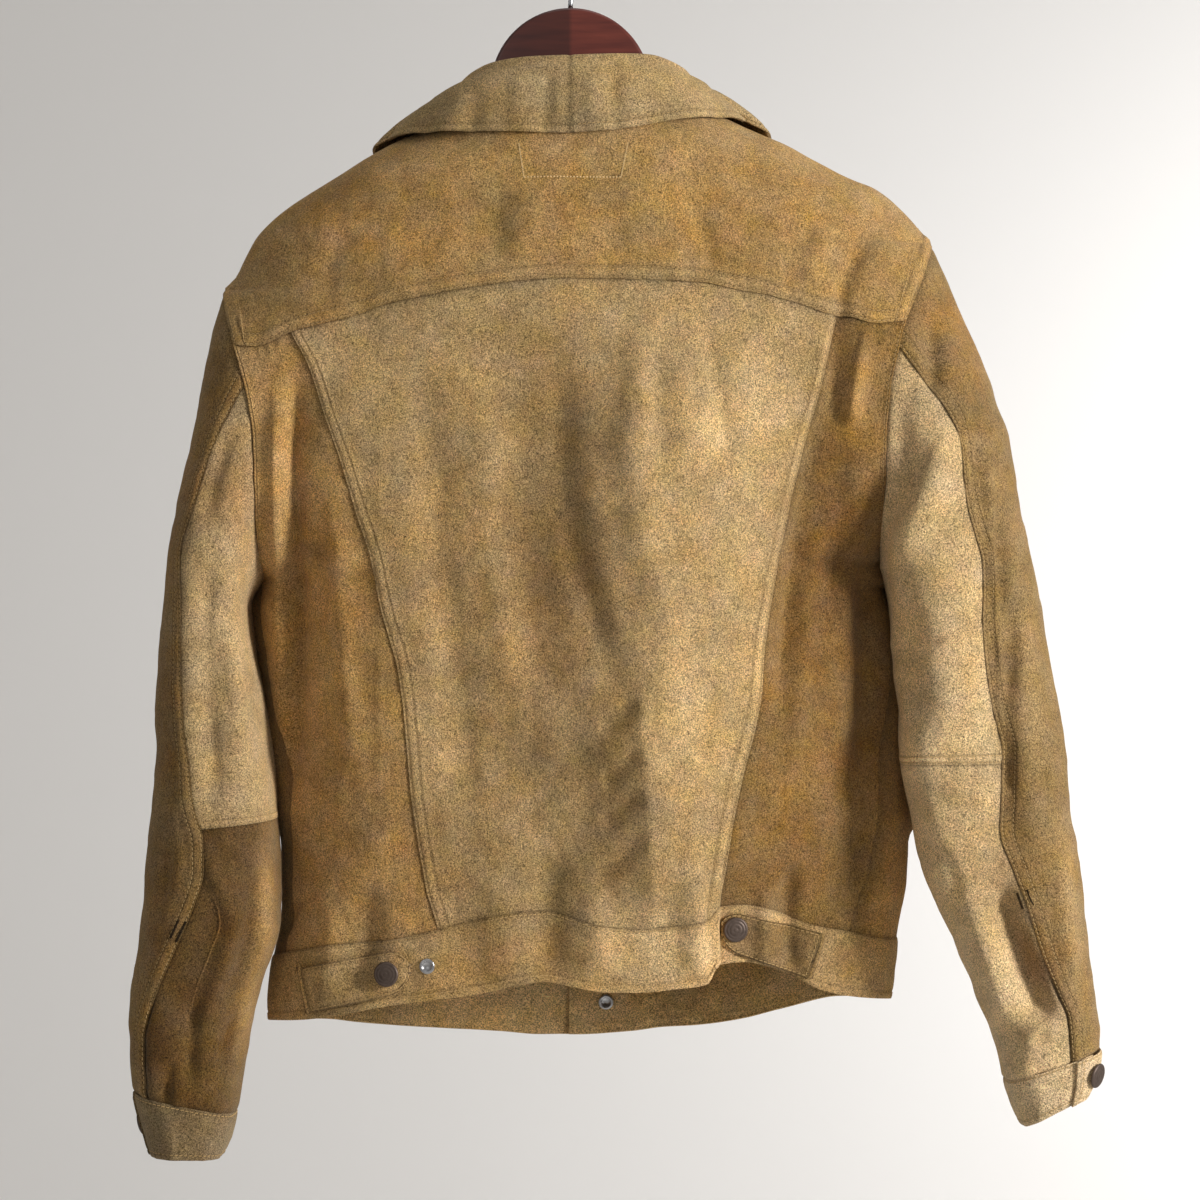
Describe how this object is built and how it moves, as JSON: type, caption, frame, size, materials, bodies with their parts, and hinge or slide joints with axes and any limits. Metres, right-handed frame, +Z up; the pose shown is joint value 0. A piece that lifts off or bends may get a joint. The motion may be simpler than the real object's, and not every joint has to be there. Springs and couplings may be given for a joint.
{
  "type": "suede jacket on wooden clothes hanger",
  "caption": "Short suede jacket with yoke, collar, hem band and side tabs, hanging on a wooden hanger by its hook.",
  "frame": {"origin": "inner crest of the hanger hook, where it rests on a rail", "axes": "+Z up, +Y towards the front of the jacket, -Y towards its back, +X towards the wearer's right"},
  "size_m": [0.6686, 0.1675, 0.8688],
  "materials": {
    "back_yoke": "suede nap, worn and unevenly faded",
    "back_centre": "suede nap, worn and unevenly faded",
    "back_side_left": "suede nap, worn and unevenly faded",
    "back_side_right": "suede nap, worn and unevenly faded",
    "front_left": "suede nap, worn and unevenly faded",
    "front_right": "suede nap, worn and unevenly faded",
    "waistband_back_left": "suede nap, worn and unevenly faded",
    "waistband_back_right": "suede nap, worn and unevenly faded",
    "waistband_front_left": "suede nap, worn and unevenly faded",
    "waistband_front_right": "suede nap, worn and unevenly faded",
    "tab_left": "suede nap, worn and unevenly faded",
    "tab_right": "suede nap, worn and unevenly faded",
    "collar_left": "suede nap, worn and unevenly faded",
    "collar_right": "suede nap, worn and unevenly faded",
    "sleeve_top_left": "suede nap, worn and unevenly faded",
    "sleeve_under_upper_left": "suede nap, worn and unevenly faded",
    "sleeve_under_lower_left": "suede nap, worn and unevenly faded",
    "cuff_left": "suede nap, worn and unevenly faded",
    "sleeve_top_right": "suede nap, worn and unevenly faded",
    "sleeve_under_upper_right": "suede nap, worn and unevenly faded",
    "sleeve_under_lower_right": "suede nap, worn and unevenly faded",
    "cuff_right": "suede nap, worn and unevenly faded",
    "snap_tab_left": "dark plated cap, rubbed",
    "snap_tab_right": "dark plated cap, rubbed",
    "snap_cuff_left": "dark plated cap, rubbed",
    "snap_cuff_right": "dark plated cap, rubbed",
    "snap_front_1": "dark plated cap, rubbed",
    "snap_front_2": "dark plated cap, rubbed",
    "snap_front_3": "dark plated cap, rubbed",
    "snap_front_4": "dark plated cap, rubbed",
    "snap_front_5": "dark plated cap, rubbed",
    "snap_front_6": "dark plated cap, rubbed",
    "stud_band_left": "bright nickel ring",
    "stud_band_inside": "bright nickel ring",
    "hanger_body": "dark red-brown varnish, glossy",
    "hanger_hook": "plain wire"
  },
  "bodies": {
    "root": {"back_yoke": "back_yoke", "back_centre": "back_centre", "back_side_left": "back_side_left", "back_side_right": "back_side_right", "front_left": "front_left", "front_right": "front_right", "waistband_back_left": "waistband_back_left", "waistband_back_right": "waistband_back_right", "waistband_front_left": "waistband_front_left", "waistband_front_right": "waistband_front_right", "tab_left": "tab_left", "tab_right": "tab_right", "collar_left": "collar_left", "collar_right": "collar_right", "sleeve_top_left": "sleeve_top_left", "sleeve_under_upper_left": "sleeve_under_upper_left", "sleeve_under_lower_left": "sleeve_under_lower_left", "cuff_left": "cuff_left", "sleeve_top_right": "sleeve_top_right", "sleeve_under_upper_right": "sleeve_under_upper_right", "sleeve_under_lower_right": "sleeve_under_lower_right", "cuff_right": "cuff_right", "snap_tab_left": "snap_tab_left", "snap_tab_right": "snap_tab_right", "snap_cuff_left": "snap_cuff_left", "snap_cuff_right": "snap_cuff_right", "snap_front_1": "snap_front_1", "snap_front_2": "snap_front_2", "snap_front_3": "snap_front_3", "snap_front_4": "snap_front_4", "snap_front_5": "snap_front_5", "snap_front_6": "snap_front_6", "stud_band_left": "stud_band_left", "stud_band_inside": "stud_band_inside", "hanger_body": "hanger_body", "hanger_hook": "hanger_hook"}
  },
  "joints": []
}
